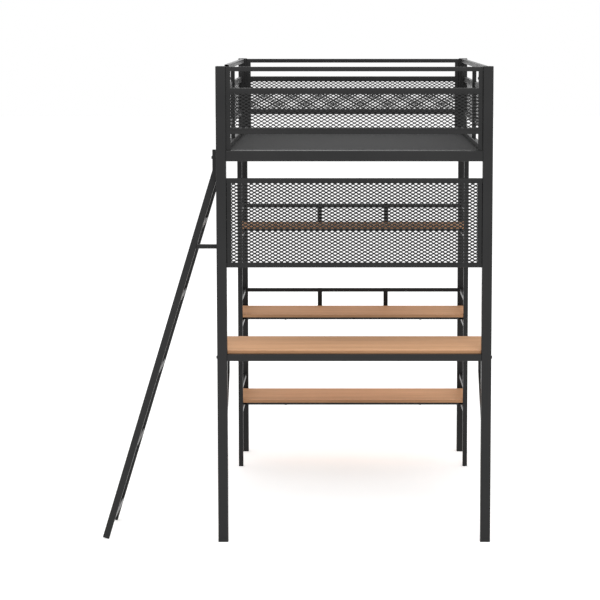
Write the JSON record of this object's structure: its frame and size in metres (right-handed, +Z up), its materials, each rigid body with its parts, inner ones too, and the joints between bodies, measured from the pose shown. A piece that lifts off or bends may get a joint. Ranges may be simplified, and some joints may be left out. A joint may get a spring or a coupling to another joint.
{
  "type": "loft bed with desk",
  "caption": "Steel loft bed with a board deck, mesh guards, a wooden desk under one end, wooden shelves under the other and a leaning side ladder.",
  "frame": {"origin": "on the floor, under the middle of the whole object's box, ladder and bolt heads included", "axes": "+X across the bed to the right, +Y along the bed from the desk end to the shelf end, +Z up"},
  "size_m": [1.492, 1.98, 1.811],
  "materials": {
    "steel": "satin charcoal powder coat",
    "mesh": "satin charcoal powder coat on expanded steel",
    "wood": "matt light brown wood-grain laminate with edge banding",
    "deck": "matt charcoal faced board",
    "plastic": "black moulded plastic",
    "bolt": "black oxide steel"
  },
  "bodies": {
    "root": {"deck_bearers": "steel", "deck_panel_1": "deck", "deck_panel_2": "deck", "deck_panel_3": "deck", "desk_board": "wood", "desk_bolt_left": "bolt", "desk_bolt_right": "bolt", "desk_brace_left": "steel", "desk_brace_right": "steel", "desk_frame": "steel", "end_beam_desk": "steel", "end_beam_shelf": "steel", "end_guard_desk": "steel", "end_guard_shelf": "steel", "end_mesh_desk": "mesh", "end_mesh_shelf": "mesh", "gallery_middle": "steel", "gallery_top": "steel", "ladder_bolt_far": "bolt", "ladder_bolt_near": "bolt", "ladder_foot_far": "plastic", "ladder_foot_near": "plastic", "ladder_rail_far": "steel", "ladder_rail_near": "steel", "ladder_rung_1": "steel", "ladder_rung_2": "steel", "ladder_rung_3": "steel", "ladder_rung_4": "steel", "ladder_rung_5": "steel", "ladder_standoff": "steel", "post_cap_desk_left": "plastic", "post_cap_desk_right": "plastic", "post_cap_shelf_left": "plastic", "post_cap_shelf_right": "plastic", "post_desk_left": "steel", "post_desk_right": "steel", "post_foot_desk_left": "plastic", "post_foot_desk_right": "plastic", "post_foot_shelf_left": "plastic", "post_foot_shelf_right": "plastic", "post_shelf_left": "steel", "post_shelf_right": "steel", "privacy_frame": "steel", "privacy_mesh": "mesh", "shelf_board_low": "wood", "shelf_board_middle": "wood", "shelf_board_top": "wood", "shelf_foot_left": "plastic", "shelf_foot_right": "plastic", "shelf_frame_low": "steel", "shelf_frame_middle": "steel", "shelf_frame_top": "steel", "shelf_side_left": "steel", "shelf_side_right": "steel", "side_guard_left": "steel", "side_guard_right": "steel", "side_mesh_left": "mesh", "side_mesh_right": "mesh", "side_rail_left": "steel", "side_rail_right": "steel"}
  },
  "joints": []
}
